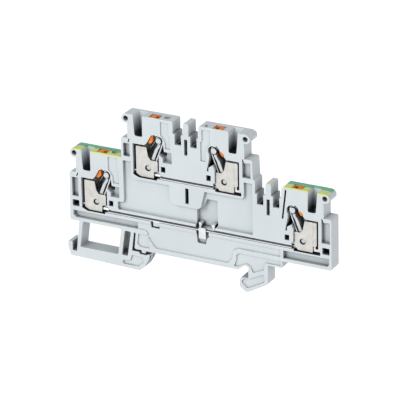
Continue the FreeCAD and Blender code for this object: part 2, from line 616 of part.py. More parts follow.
def make_housing():
    """The one-piece moulding with its four towers, two posts, hook and sprung foot."""
    body = prism(body_outline(), 0, THICKNESS)
    bosses = [placed(pin_y(0, 0, BOSS_R, 0, THICKNESS), station) for station in STATIONS]
    body = body.fuse(bosses).removeSplitter()
    cuts = foot_windows() + jaw_grooves()
    for station in STATIONS:
        cuts += station_cuts(station)
    cuts.append(bar_channel(LOWER_LEFT, LOWER_RIGHT))
    cuts.append(bar_channel(UPPER_LEFT, UPPER_RIGHT))
    cuts += bridge_cuts(BRIDGE_UPPER_X, UPPER_HOLE_Z + TOP_RISE, UPPER_HOLE_Z + BAR_TOP)
    cuts += bridge_cuts(BRIDGE_LOWER_X, LOWER_HOLE_Z + TOP_RISE, LOWER_HOLE_Z + BAR_TOP)
    cuts += middle_field() + base_relief() + contact_recesses()
    body = body.cut(cuts)
    pins = []
    pin_recess = CAGE_RECESS + CAGE_PIN_RECESS
    for station in STATIONS:
        pins.append(placed(pin_y(EYE_U, EYE_W, EYE_PIN_R, EYE_PIN_RECESS, THICKNESS), station))
        pins.append(placed(spring_rib(), station))
        pin = pin_y(cage_pin_u(station), CAGE_PIN_W, CAGE_PIN_R, pin_recess, THICKNESS)
        pins.append(placed(pin, station))
    return body.fuse(pins).removeSplitter()


def inner_notch_plate():
    """The outline of a cage plate whose lower inner corner is notched."""
    notch_top = BAR_LEVEL + 1.8
    return [
        (CAGE_OUT, CAGE_TOP, 0.2), (CAGE_IN - 3.8, CAGE_TOP, 0.2), (CAGE_IN - 3.3, CAGE_SHOULDER + 1.25),
        (CAGE_IN - 2.45, CAGE_SHOULDER), (CAGE_IN, CAGE_SHOULDER, 0.2), (CAGE_IN, notch_top + 0.4),
        (CAGE_IN - CAGE_NOTCH, notch_top), (CAGE_IN - CAGE_NOTCH - 0.07, CAGE_FLOOR),
        (CAGE_OUT + 1.5, CAGE_FLOOR), (CAGE_OUT, CAGE_FLOOR + 0.8),
    ]


def outer_notch_plate():
    """The outline of a cage plate whose lower outer corner is notched."""
    notch_top = BAR_LEVEL + 1.7
    return [
        (CAGE_OUT, CAGE_TOP, 0.2), (CAGE_IN - 3.4, CAGE_TOP, 0.2), (CAGE_IN - 2.8, CAGE_SHOULDER + 1.15),
        (CAGE_IN - 1.86, CAGE_SHOULDER), (CAGE_IN, CAGE_SHOULDER, 0.2), (CAGE_IN, CAGE_FLOOR + 1.5),
        (CAGE_IN - 1.2, CAGE_FLOOR), (CAGE_OUT + CAGE_NOTCH, CAGE_FLOOR), (CAGE_OUT + CAGE_NOTCH, notch_top),
        (CAGE_OUT, notch_top + 0.35),
    ]


def make_cage(station):
    """A folded steel cage: front and back plates joined by an outer wall, a floor and an inner wall."""
    floor = CAGE_FLOOR
    plate_back = CAGE_RECESS + CAGE_SHEET
    if station.side > 0:
        outline = inner_notch_plate()
        tab = block(CAVITY_OUT + 0.1, CAGE_OUT + 0.1, CAGE_RECESS, plate_back, floor + 1.6, floor + 2.0)
        base_out = CAGE_OUT + 1.5
        base_in = CAGE_IN - CAGE_NOTCH - 0.07
    else:
        outline = outer_notch_plate()
        tab = block(CAGE_IN - 0.1, CAGE_IN + 0.5, CAGE_RECESS, plate_back, floor + 1.75, floor + 2.1)
        base_out = BAR_RAISED_OUT + 0.2
        base_in = BAR_RAISED_IN - 0.2
    front = prism(outline, CAGE_RECESS, plate_back)
    back = prism(inner_notch_plate(), CAGE_BACK - CAGE_SHEET, CAGE_BACK)
    outer = block(CAGE_OUT, CAGE_OUT + CAGE_SHEET, CAGE_RECESS, CAGE_BACK, BAR_LEVEL + 2.05, CAGE_TOP - 0.3)
    base = block(base_out, base_in, CAGE_RECESS, CAGE_BACK, floor, floor + CAGE_SHEET)
    inner = block(CAGE_IN - CAGE_SHEET, CAGE_IN, CAGE_RECESS, CAGE_BACK, BAR_LEVEL + 2.4, CAGE_SHOULDER - 0.3)
    hole = pin_y(cage_pin_u(station), CAGE_PIN_W, CAGE_PIN_R + CAGE_PIN_GAP, 0, THICKNESS)
    return front.fuse([back, outer, base, inner, tab]).cut(hole).removeSplitter()


def make_spring():
    """A spring strip: an eye round the housing's pin, a narrower clamping leg and a leg that stays."""
    clamp = math.radians(CLAMP_LEG_TILT)
    clamp_start = (EYE_U - SPRING_R * math.cos(clamp), EYE_W + SPRING_R * math.sin(clamp))
    tip_u = CONTACT_U + BAR_THICKNESS / 2 + 0.3
    tip_w = clamp_start[1] - (clamp_start[0] - tip_u) / math.tan(clamp)
    far = EYE_U + SPRING_R + 1
    ring = pin_y(EYE_U, EYE_W, SPRING_R + SPRING_SHEET / 2, INNER_FRONT, INNER_BACK)
    ring = ring.cut(pin_y(EYE_U, EYE_W, SPRING_R - SPRING_SHEET / 2, INNER_FRONT, INNER_BACK))
    reach = 3 * SPRING_R
    mouth = prism([(EYE_U, EYE_W), clamp_start, (clamp_start[0] - reach, clamp_start[1] - reach),
                   (far, EYE_W - reach), (far, EYE_W)], INNER_FRONT, INNER_BACK)
    leg = strip([clamp_start, (tip_u, tip_w)], SPRING_SHEET, INNER_FRONT + CLAMP_LEG_INSET, INNER_BACK)
    stay = strip(stay_leg_path(), SPRING_SHEET, INNER_FRONT, INNER_BACK)
    return ring.cut(mouth).fuse([leg, stay]).removeSplitter()


def make_button():
    """The release button: a head with a screwdriver step, a stem and a nose beside the spring."""
    out = BUTTON_OUT + BUTTON_GAP
    inner = BUTTON_IN - BUTTON_GAP
    top = TOP_RISE - BUTTON_SINK
    near = BUTTON_FRONT_WALL + BUTTON_GAP
    far = near + BUTTON_WIDTH
    shoulder = BUTTON_LEDGE + BUTTON_TRAVEL + BUTTON_GAP
    outline = [(out, top), (inner, top), (inner, shoulder, 0.3), (STEM_IN, shoulder),
               (STEM_IN, NOSE_FOOT + 1.1), (STEM_IN - 0.75, NOSE_FOOT, 0.2),
               (NOSE_OUT + 0.1, NOSE_FOOT, 0.3), (NOSE_OUT, NOSE_FOOT + 0.8, 0.2), (out, NOSE_FOOT + 1.5)]
    body = prism(outline, near, far)
    step = (out + inner) / 2 + 0.15
    slot = prism([(step, top + 1), (inner - 0.35, top + 1), (inner - 0.35, top - 0.9), (step, top - 0.5)],
                 near + 0.45, far - 0.45)
    return body.cut(slot)


def make_bar(left, right, holes):
    """A current bar: a wide strip whose narrow ends pass over the cage floors, with two upright contacts."""
    level = (BAR_LEVEL + BAR_TOP) / 2
    raised = level + BAR_STEP
    top = raised + BAR_RISE
    left_end = [(CONTACT_U, top), (CONTACT_U, raised), (CAGE_IN + 0.3, raised), (CAGE_IN + 1.1, level),
                (CAGE_IN + 2.0, level)]
    tail = CAVITY_OUT - TAIL_ROOM + BAR_TAIL_GAP
    right_end = [(tail, level), (BAR_RAISED_OUT - 0.8, level), (BAR_RAISED_OUT, raised),
                 (BAR_RAISED_IN, raised), (BAR_RAISED_IN + 0.8, level), (CAGE_IN + 2.0, level)]
    right_contact = [(CONTACT_U, top), (CONTACT_U, level)]
    pieces = []
    for station, path in ((left, left_end), (right, right_end), (right, right_contact)):
        placed_path = [at(station, u, w) for u, w in path]
        pieces.append(strip(placed_path, BAR_THICKNESS, INNER_FRONT, INNER_BACK))
    x0, z0 = at(left, CAGE_IN + BAR_WIDE_START, BAR_LEVEL)
    x1 = at(right, CAGE_IN + BAR_WIDE_START, 0)[0]
    wide = block(x0, x1, BAR_RECESS, CAGE_BACK, z0, z0 + BAR_THICKNESS)
    bar = wide.fuse(pieces).removeSplitter()
    half = BRIDGE_WELL_WIDTH / 2
    for middle in holes:
        bar = bar.cut(block(middle - half + 0.1, middle + half - 0.1, 1.3, POCKET - 0.9, z0 - 1, z0 + 2))
    return bar


def make_lower_bar():
    """The lower current bar, with the small lug that locates it in the moulding."""
    holes = (BRIDGE_LOWER_X - BRIDGE_HALF_PITCH, BRIDGE_LOWER_X + BRIDGE_HALF_PITCH)
    bar = make_bar(LOWER_LEFT, LOWER_RIGHT, holes)
    floor = LOWER_HOLE_Z + BAR_LEVEL
    half = LUG_LENGTH / 2
    lug = block(LUG_X - half, LUG_X + half, BAR_RECESS, BAR_RECESS + 0.8, floor - 1.5, floor + 0.2)
    return bar.fuse(lug).removeSplitter()


def make_upper_bar():
    """The upper current bar."""
    holes = (BRIDGE_UPPER_X - BRIDGE_HALF_PITCH, BRIDGE_UPPER_X + BRIDGE_HALF_PITCH)
    return make_bar(UPPER_LEFT, UPPER_RIGHT, holes)


def make_centre_contact():
    """A spring clip on the lower bar: a saddle, two leaning wings and a tongue over the bar's edge."""
    seat = LOWER_HOLE_Z + BAR_TOP
    sheet = 0.3
    x0 = CLIP_X - CLIP_LENGTH / 2
    x1 = CLIP_X + CLIP_LENGTH / 2
    base = block(x0, x1, 0.5, 2.5, seat, seat + sheet)
    left = prism([(x0, seat), (x0 + 0.35, seat), (x0 + 0.9, seat + 1.75), (x0 - 0.25, seat + 1.9)], 0.5, 2.4)
    right = prism([(x1 - 0.35, seat), (x1, seat), (x1 + 0.3, seat + 1.9), (x1 - 1.0, seat + 1.75)], 0.5, 2.4)
    tongue = block(x0 - 0.05, x0 + 2.3, 0.0, BAR_RECESS - 0.02, seat - 3.2, seat + sheet)
    bridge = block(x0 - 0.05, x0 + 2.3, 0.0, 0.6, seat, seat + sheet)
    return base.fuse([left, right, tongue, bridge]).removeSplitter()


def export(shape, name):
    """One solid, written to its own file."""
    assert shape.isValid() and len(shape.Solids) == 1, name
    shape.Solids[0].exportStep("parts/" + name + ".step")


def main():
    """Build and write every piece."""
    os.makedirs("parts", exist_ok=True)
    export(make_housing(), "housing")
    for station in STATIONS:
        export(placed(make_cage(station), station), "clamp_cage_" + station.name)
        export(placed(make_spring(), station), "clamp_spring_" + station.name)
        export(placed(make_button(), station), "release_button_" + station.name)
    export(make_upper_bar(), "current_bar_upper")
    export(make_lower_bar(), "current_bar_lower")
    export(make_centre_contact(), "centre_contact")


main()
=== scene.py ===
import math

import bmesh
import bpy
from mathutils import Matrix, Vector


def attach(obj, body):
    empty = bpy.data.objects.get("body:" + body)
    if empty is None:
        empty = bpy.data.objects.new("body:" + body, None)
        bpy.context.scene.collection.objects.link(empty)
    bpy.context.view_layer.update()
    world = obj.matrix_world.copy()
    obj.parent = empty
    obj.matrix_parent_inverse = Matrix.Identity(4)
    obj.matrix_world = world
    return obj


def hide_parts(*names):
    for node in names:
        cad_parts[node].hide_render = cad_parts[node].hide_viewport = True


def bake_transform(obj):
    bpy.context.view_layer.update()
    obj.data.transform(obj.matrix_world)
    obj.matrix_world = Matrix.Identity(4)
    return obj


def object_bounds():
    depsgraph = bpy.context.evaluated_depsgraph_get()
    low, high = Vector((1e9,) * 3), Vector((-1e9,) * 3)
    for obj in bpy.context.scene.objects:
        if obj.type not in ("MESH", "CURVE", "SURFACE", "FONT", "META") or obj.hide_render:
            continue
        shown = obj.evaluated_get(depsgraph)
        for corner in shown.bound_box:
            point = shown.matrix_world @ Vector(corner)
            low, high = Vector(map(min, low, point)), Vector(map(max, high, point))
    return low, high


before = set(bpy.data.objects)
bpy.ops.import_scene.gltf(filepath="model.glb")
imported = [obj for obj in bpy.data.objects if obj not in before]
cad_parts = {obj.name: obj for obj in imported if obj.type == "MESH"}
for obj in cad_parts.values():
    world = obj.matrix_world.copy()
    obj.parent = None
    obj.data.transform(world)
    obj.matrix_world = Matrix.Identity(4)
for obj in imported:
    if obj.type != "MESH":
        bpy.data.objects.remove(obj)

# Two-level push-in terminal block for a 35 mm rail, seen on its open side.
# All is in metres but the sizes said to be in mm. X runs along the block, Y through its thickness
# with the open face at -Y, and Z is up.

MM = 0.001
WHITE = (1, 1, 1, 1)

# Camera, lights and room
PHOTO_PIXELS = 400
SENSOR = 36.0
FOCAL_PIXELS = 3084.7
VIEW_AZIMUTH = 27.783
VIEW_ELEVATION = 23.357
VIEW_ROLL = -1.071
VIEW_DISTANCE = 928.8 * MM
VIEW_TARGET = Vector((1.6 * MM, -2.55 * MM, 20.61 * MM))
LIGHT_TARGET = (0, 0, 0.02)
FLOOR_DROP = 70 * MM
FLOOR_HALF = 3.0
FLOOR_GLOW = 0.6
SURROUND_COLOUR = (0.97, 0.985, 1, 1)
SURROUND_STRENGTH = 0.45

# Radii of rounded edges and of the painted highlights along them, and what counts as sharp, as flat and as one point
PLASTIC_EDGE = 0.14 * MM
METAL_EDGE = 0.05 * MM
BUTTON_EDGE = 0.1 * MM
HIGHLIGHT_EDGE = 0.36 * MM
BUTTON_HIGHLIGHT_EDGE = 0.18 * MM
SHARP = math.radians(32)
FLAT = math.radians(1.0)
SAME_POINT = 0.0005 * MM

# Each clamping point: the x and z of its marker hole, and 1 where its inner side is towards +X
STATIONS = {
    "lower_left": (-41.68 * MM, 28.45 * MM, 1),
    "upper_left": (-23.29 * MM, 42.91 * MM, 1),
    "upper_right": (17.08 * MM, 42.91 * MM, -1),
    "lower_right": (43.10 * MM, 28.45 * MM, -1),
}

# Boxes at a clamping point, in mm inwards and upwards from its marker hole
FUNNEL = (2.2, 5.75), (-5.5, 1.9)
TEST_HOLE = (11.9, 14.3), (-4.1, 1.5)
INNER_POCKET = (12.3, 15.6), (-12.5, -8.7)
MARKER_HOLE = (-0.9, 0.9), (-0.9, 0.9)
CAVITY_LEDGE = (1.4, 10.35), (-18.8, -17.5)

# Depths between which inner shading is painted, so that none shows on the two faces, and its soft border
INNER_FRONT = -2.52 * MM
INNER_BACK = 2.1 * MM
CRISP = 0.02 * MM

# The pin in a spring's eye: its place from the marker hole, and the radii over which the painted shade round it
# fades in, with the depth where that shade starts
EYE_INWARD = 10.84 * MM
EYE_DROP = 5.75 * MM
RING_OUT = 1.5 * MM
RING_IN = 1.3 * MM
RING_FRONT = -2.0 * MM

# The slots in the two posts: their middles and their half sizes, in mm
POST_SLOTS = (-2.92, 36.81), (24.46, 22.35)
POST_SLOT_HALF = 0.6, 2.7

# The foot and the left trough, where the painted shade of wide hollows has a strength of its own
FOOT_X = -21 * MM, -22 * MM
FOOT_Z = 5.8 * MM, 5.4 * MM
TROUGH_X = -43.5 * MM, -16 * MM
TROUGH_Z = 6.1 * MM, 9.9 * MM

# The printed bands on the two low tops, and the dot
LOW_TOP = 29.6 * MM, 30.3 * MM
LEFT_TOP = -44 * MM, -25.2 * MM
RIGHT_TOP = 29.2 * MM, 46 * MM
FRONT_BAND = -3 * MM, -0.25 * MM
BACK_BAND = 0.15 * MM, 3 * MM
DOT_ALONG = 24.65 * MM, 25.5 * MM
DOT_ACROSS = -1.9 * MM, -1.0 * MM

# The bars: the height between the two levels, how far the upper bar's right end lies left of the lower one's
# and above it, where the lower one's right end starts, the lug's top, and the painted shadow line
# along the upper front edge
BETWEEN_LEVELS = 17.9 * MM, 18.1 * MM
UPPER_SHIFT = 26 * MM
UPPER_RISE = 14.46 * MM
RIGHT_END = 32.2 * MM, 33.0 * MM
LUG_TOP = 10.3 * MM, 10.2 * MM
SHADOW_LINE_HEIGHTS = 10.64 * MM, 11.3 * MM
BAR_FRONT = -2.1 * MM, -2.2 * MM

# The bend lines of the right cages, and the depths over which painted shade darkens the springs
FOLD_FROM_HOLE = 4.15 * MM
FOLD_HALF = 0.08 * MM
SPRING_SHADE_DEPTHS = -0.7 * MM, -0.2 * MM

# Painted shade in hollows: how far it is felt, then the open share of the surroundings where it is full and where it
# ends
CORNER_SHADE = 0.6 * MM, 0.4, 0.9
WIDE_HOLLOW_SHADE = 14 * MM, 0.3, 0.9
DEEP_GAP_SHADE = 5 * MM, 0.15, 0.43
METAL_GAP_SHADE = 2.5 * MM, 0.12, 0.5
METAL_CORNER_SHADE = 0.9 * MM, 0.3, 0.75
BUTTON_CORNER_SHADE = 0.9 * MM, 0.3, 0.85

# How strong each tone is
CORNER_SHADE_SHARE = 0.6
WIDE_SHADE_SHARE = 0.42
MORE_WIDE_SHADE_IN_FOOT = 0.3
LESS_WIDE_SHADE_IN_TROUGH = -0.2
RING_SHADE_SHARE = 0.85
POST_SLOT_LIFT = 0.4
POCKET_LIFT = 0.8
MARKER_LIFT = 0.85
HOUSING_SHADE = 0.97
METAL_SHADE = 0.92
LUG_SHARE = 0.8
DEPTH_SHADE_SHARE = 0.8
BUTTON_HIGHLIGHT_SHARE = 0.5

# Colours
HOUSING_GREY = (0.69, 0.755, 0.775)
CLOUD_GREYS = (0.682, 0.732, 0.762), (0.705, 0.764, 0.786)
CORNER_SHADE_GREY = (0.30, 0.33, 0.35)
EDGE_HIGHLIGHT_WHITE = (0.97, 0.985, 0.99)
WIDE_SHADE_GREY = (0.16, 0.17, 0.18)
GAP_SHADE_BLACK = (0.012, 0.014, 0.018)
METAL_SHADE_BLACK = (0.02, 0.02, 0.022)
BAND_YELLOW = (0.72, 0.80, 0.26)
BAND_GREENS = (0.15, 0.49, 0.26), (0.25, 0.57, 0.35)
DOT_YELLOW = (0.80, 0.86, 0.05)
COPPER = (0.50, 0.36, 0.32)
LUG_GREY = (0.46, 0.49, 0.51)
ORANGE = (0.86, 0.25, 0.022)
STREAK_ORANGES = (0.78, 0.20, 0.016), (0.93, 0.30, 0.03)
HIGHLIGHT_ORANGE = (0.98, 0.52, 0.16)
CORNER_SHADE_ORANGE = (0.16, 0.02, 0.004)
PAPER = (0.86, 0.86, 0.86)


def new_material(name, colour, roughness, metallic=0.0, specular=0.5):
    """A principled finish, returned with its node tree and its shader."""
    material = bpy.data.materials.new(name)
    material.use_nodes = True
    tree = material.node_tree
    shader = tree.nodes["Principled BSDF"]
    shader.inputs["Base Color"].default_value = (*colour, 1)
    shader.inputs["Roughness"].default_value = roughness
    shader.inputs["Metallic"].default_value = metallic
    shader.inputs["Specular IOR Level"].default_value = specular
    return material, tree, shader


def put(tree, socket, value):
    """Link a socket to another node's output, or set it to a value."""
    if isinstance(value, bpy.types.NodeSocket):
        tree.links.new(value, socket)
    else:
        socket.default_value = value


def add(tree, kind, settings=None, **inputs):
    """A node with some settings, and with its inputs set or linked by name, or by number as i0 and i1."""
    node = tree.nodes.new(kind)
    for key, value in (settings or {}).items():
        setattr(node, key, value)
    for key, value in inputs.items():
        numbered = key[0] == "i" and key[1:].isdigit()
        put(tree, node.inputs[int(key[1:]) if numbered else key.replace("_", " ")], value)
    return node


def place(tree):
    """The object's own coordinates, in metres."""
    return add(tree, "ShaderNodeTexCoord").outputs["Object"]


def position_of(tree):
    """The object's own x, y and z, in metres."""
    return add(tree, "ShaderNodeSeparateXYZ", Vector=place(tree)).outputs


def noise(tree, size, detail=3.0, stretch=(1, 1, 1)):
    """Noise with features of about the given size in metres, stretched along the axes."""
    scale = add(tree, "ShaderNodeMapping", {"vector_type": "POINT"}, Vector=place(tree), Scale=stretch)
    texture = add(tree, "ShaderNodeTexNoise", Vector=scale.outputs[0], Scale=1 / size, Detail=detail)
    return texture.outputs["Fac"]


def math_node(tree, operation, a, b=0.0, clamp=False):
    """One operation on two values."""
    return add(tree, "ShaderNodeMath", {"operation": operation, "use_clamp": clamp}, i0=a, i1=b).outputs[0]


def add_values(tree, a, b):
    """The sum of two values, held at 1."""
    return math_node(tree, "ADD", a, b, clamp=True)


def product(tree, first, *others):
    """Several values multiplied."""
    for other in others:
        first = math_node(tree, "MULTIPLY", first, other)
    return first


def highest(tree, first, *others):
    """The highest of several values."""
    for other in others:
        first = math_node(tree, "MAXIMUM", first, other)
    return first


def rest_of(tree, value):
    """1 less a value."""
    return math_node(tree, "SUBTRACT", 1.0, value)


def ramp(tree, value, low, high, to_low=0.0, to_high=1.0):
    """A value mapped from one range to another, and held at the ends."""
    return add(tree, "ShaderNodeMapRange", {"interpolation_type": "LINEAR", "clamp": True}, Value=value,
               From_Min=low, From_Max=high, To_Min=to_low, To_Max=to_high).outputs[0]


def window(tree, value, low, high, soft):
    """1 between two limits and 0 outside, with soft ends."""
    rise = ramp(tree, value, low - soft, low + soft)
    fall = ramp(tree, value, high - soft, high + soft, 1.0, 0.0)
    return product(tree, rise, fall)


def mix(tree, factor, a, b):
    """Two colours mixed by a factor."""
    node = add(tree, "ShaderNodeMix", {"data_type": "RGBA"}, i0=factor)
    for socket, colour in ((node.inputs[6], a), (node.inputs[7], b)):
        put(tree, socket, (*colour, 1) if isinstance(colour, tuple) else colour)
    return node.outputs[2]


def bump(tree, shader, height, distance, strength, edge):
    """A fine bump over edges that look rounded to the given radius."""
    rounded = add(tree, "ShaderNodeBevel", {"samples": 6}, Radius=edge).outputs[0]
    node = add(tree, "ShaderNodeBump", Height=height, Distance=distance, Strength=strength, Normal=rounded)
    tree.links.new(node.outputs[0], shader.inputs["Normal"])


def hollow_shade(tree, reach, full, none):
    """Painted shade: 1 in gaps and 0 in the open, from how much of the surroundings within a reach a point sees."""
    seen = add(tree, "ShaderNodeAmbientOcclusion", {"samples": 8}, Distance=reach).outputs["AO"]
    return ramp(tree, seen, full, none, 1.0, 0.0)


def edge_highlight_mask(tree, radius):
    """Painted highlight mask: how far a point lies on a rounded edge, the turn between the true and a widely rounded
    normal.
    """
    wide = add(tree, "ShaderNodeBevel", {"samples": 6}, Radius=radius).outputs[0]
    true = add(tree, "ShaderNodeNewGeometry").outputs["Normal"]
    turn = add(tree, "ShaderNodeVectorMath", {"operation": "DOT_PRODUCT"}, i0=wide, i1=true).outputs["Value"]
    return ramp(tree, turn, 0.97, 0.75)


def between_faces(tree, y, front=INNER_FRONT):
    """1 between a depth and the back wall, 0 on the back face."""
    return window(tree, y, front, INNER_BACK, CRISP)


def in_box(tree, position, station, inward, upward):
    """1 inside the moulding in a box given inwards and upwards in mm from a marker hole, 0 outside."""
    x, y, z = position
    hole_x, hole_z, side = STATIONS[station]
    ends = sorted(hole_x + side * u * MM for u in inward)
    across = window(tree, x, *ends, CRISP)
    along = window(tree, z, hole_z + upward[0] * MM, hole_z + upward[1] * MM, CRISP)
    return product(tree, across, along, between_faces(tree, y))


def funnels(tree, position):
    """Whether a point is in a wire funnel, and how far down it is, as painted shade from 0 at its mouth to 1 at its
    floor.
    """
    inside = 0.0
    down = 0.0
    for station, (_, hole_z, _) in STATIONS.items():
        here = in_box(tree, position, station, *FUNNEL)
        # Painted shade growing down the funnel
        depth = ramp(tree, position[2], hole_z + 0.4 * MM, hole_z - 4.8 * MM)
        inside = add_values(tree, inside, here)
        down = add_values(tree, down, product(tree, depth, here))
    return inside, down


def eye_ring_shade(tree, position):
    """Painted shade: 1 round the pin of each spring eye, behind the pin's own face."""
    x, y, z = position
    rings = 0.0
    for hole_x, hole_z, side in STATIONS.values():
        across = math_node(tree, "SUBTRACT", x, hole_x + side * EYE_INWARD)
        along = math_node(tree, "SUBTRACT", z, hole_z - EYE_DROP)
        squares = math_node(tree, "ADD", product(tree, across, across), product(tree, along, along))
        rings = add_values(tree, rings, ramp(tree, math_node(tree, "SQRT", squares), RING_OUT, RING_IN))
    return product(tree, rings, between_faces(tree, y, RING_FRONT))


def lighter_holes(tree, position):
    """Positive where painted shade is lessened: post slots, inner pockets and round holes catch more light than
    other gaps.
    """
    x, _, z = position
    half_x, half_z = POST_SLOT_HALF
    lighter = 0.0
    for middle_x, middle_z in POST_SLOTS:
        across = window(tree, x, (middle_x - half_x) * MM, (middle_x + half_x) * MM, CRISP)
        along = window(tree, z, (middle_z - half_z) * MM, (middle_z + half_z) * MM, CRISP)
        lighter = add_values(tree, lighter, product(tree, across, along, POST_SLOT_LIFT))
    for station in ("lower_left", "upper_left"):
        lighter = add_values(tree, lighter, in_box(tree, position, station, *TEST_HOLE))
        pocket = in_box(tree, position, station, *INNER_POCKET)
        lighter = add_values(tree, lighter, product(tree, pocket, POCKET_LIFT))
    for station, (_, hole_z, _) in STATIONS.items():
        lit_floor = ramp(tree, z, hole_z - 0.1 * MM, hole_z - 0.6 * MM, 0.0, MARKER_LIFT)
        hole = in_box(tree, position, station, *MARKER_HOLE)
        lighter = add_values(tree, lighter, product(tree, hole, lit_floor))
    return lighter


def ledge_shadows(tree, position):
    """Painted shadow: 1 on the low ledge under each cage, which lies in its shadow."""
    # Painted shadow on the ledges under the cages
    ledges = 0.0
    for station in STATIONS:
        ledges = add_values(tree, ledges, in_box(tree, position, station, *CAVITY_LEDGE))
    return ledges


def wide_shade_strength(tree, position):
    """How strong the painted shade of wide hollows is: more in the foot, less in the left trough."""
    x, _, z = position
    foot = product(tree, ramp(tree, x, *FOOT_X), ramp(tree, z, *FOOT_Z))
    trough = product(tree, window(tree, x, *TROUGH_X, 1.0 * MM), window(tree, z, *TROUGH_Z, 0.1 * MM))
    change = math_node(tree, "ADD", product(tree, foot, MORE_WIDE_SHADE_IN_FOOT),
                       product(tree, trough, LESS_WIDE_SHADE_IN_TROUGH))
    return math_node(tree, "ADD", change, WIDE_SHADE_SHARE)


def printed(tree, position, colour):
    """A colour with a yellow-green and a green band on the two low tops, and a yellow dot on the right post."""
    x, y, z = position
    sides = add_values(tree, window(tree, x, *LEFT_TOP, 0.05 * MM), window(tree, x, *RIGHT_TOP, 0.05 * MM))
    low_tops = product(tree, window(tree, z, *LOW_TOP, 0.05 * MM), sides)
    front_band = product(tree, low_tops, window(tree, y, *FRONT_BAND, 0.12 * MM))
    colour = mix(tree, front_band, colour, BAND_YELLOW)
    green = mix(tree, ramp(tree, noise(tree, 1.5 * MM, 2.0), 0.4, 0.65), *BAND_GREENS)
    back_band = product(tree, low_tops, window(tree, y, *BACK_BAND, 0.12 * MM))
    colour = mix(tree, back_band, colour, green)
    dot = product(tree, window(tree, x, *DOT_ALONG, 0.1 * MM), window(tree, y, *DOT_ACROSS, 0.1 * MM),
                  window(tree, z, *LOW_TOP, 0.1 * MM))
    return mix(tree, dot, colour, DOT_YELLOW)


def make_housing_plastic():
    """Cool light grey moulded plastic: fine grain, faint flow clouds, painted highlights on the edges,
    painted shade in corners, hollows and deep gaps, and printed bands.
    """
    material, tree, shader = new_material("housing_plastic", HOUSING_GREY, 0.42, specular=0.4)
    position = position_of(tree)
    inside, down = funnels(tree, position)
    outside = rest_of(tree, inside)
    colour = mix(tree, ramp(tree, noise(tree, 9 * MM, 2.0, (1, 1, 0.6)), 0.35, 0.65), *CLOUD_GREYS)
    # Painted shade: corners darkened towards grey
    colour = mix(tree, product(tree, hollow_shade(tree, *CORNER_SHADE), CORNER_SHADE_SHARE), colour, CORNER_SHADE_GREY)
    # Painted highlight: pale lines along the rounded edges
    colour = mix(tree, edge_highlight_mask(tree, HIGHLIGHT_EDGE), colour, EDGE_HIGHLIGHT_WHITE)
    # Painted shade in wide hollows, stronger in the foot and weaker in the left trough
    wide = product(tree, hollow_shade(tree, *WIDE_HOLLOW_SHADE), wide_shade_strength(tree, position), outside)
    colour = mix(tree, wide, colour, WIDE_SHADE_GREY)
    colour = printed(tree, position, colour)
    # Painted shade: deep gaps, funnels, the cage ledges and the eye pin surrounds go nearly black
    gaps = product(tree, hollow_shade(tree, *DEEP_GAP_SHADE), outside, rest_of(tree, lighter_holes(tree, position)))
    # Painted shade round the eye pins
    rings = product(tree, eye_ring_shade(tree, position), RING_SHADE_SHARE)
    shade = highest(tree, gaps, down, ledge_shadows(tree, position), rings)
    colour = mix(tree, product(tree, shade, HOUSING_SHADE), colour, GAP_SHADE_BLACK)
    tree.links.new(colour, shader.inputs["Base Color"])
    rough = ramp(tree, noise(tree, 1.6 * MM, 4.0), 0.3, 0.7, 0.38, 0.48)
    tree.links.new(rough, shader.inputs["Roughness"])
    bump(tree, shader, noise(tree, 0.16 * MM, 2.0), 0.006 * MM, 0.6, PLASTIC_EDGE)
    return material


def fold_marks(tree, position, colour, shade):
    """A cage's colour and painted shade, with faint darker lines on the bends of the two right cages."""
    lines = 0.0
    for station in ("upper_right", "lower_right"):
        fold = STATIONS[station][0] - FOLD_FROM_HOLE
        lines = add_values(tree, lines, window(tree, position[0], fold - FOLD_HALF, fold + FOLD_HALF, 0.05 * MM))
    patchy = ramp(tree, noise(tree, 0.9 * MM, 2.0, (1, 1, 0.4)), 0.35, 0.6, 0.1, 0.4)
    return colour, highest(tree, shade, product(tree, lines, patchy))


def depth_shade(tree, position, colour, shade):
    """A spring's colour and painted shade, the shade growing towards the bottom of its cavity."""
    # Painted shade on the deeper parts of the spring
    return colour, highest(tree, shade, ramp(tree, position[1], *SPRING_SHADE_DEPTHS, 0.0, DEPTH_SHADE_SHARE))


def bar_marks(tree, position, colour, shade):
    """A bar's colour and painted shade: copper-tinged right end, grey lug, painted shadow line along its upper front
    edge.
    """
    x, y, z = position
    upper = ramp(tree, z, *BETWEEN_LEVELS)
    right_end = ramp(tree, math_node(tree, "ADD", x, product(tree, upper, UPPER_SHIFT)), *RIGHT_END)
    patches = ramp(tree, noise(tree, 1.1 * MM, 2.0), 0.3, 0.7, 0.2, 0.5)
    colour = mix(tree, product(tree, patches, right_end), colour, COPPER)
    colour = mix(tree, product(tree, ramp(tree, z, *LUG_TOP), LUG_SHARE), colour, LUG_GREY)
    height = math_node(tree, "SUBTRACT", z, product(tree, upper, UPPER_RISE))
    # Painted shadow line along the bar's upper front edge
    line = product(tree, window(tree, height, *SHADOW_LINE_HEIGHTS, 0.04 * MM), ramp(tree, y, *BAR_FRONT))
    return colour, highest(tree, shade, line)


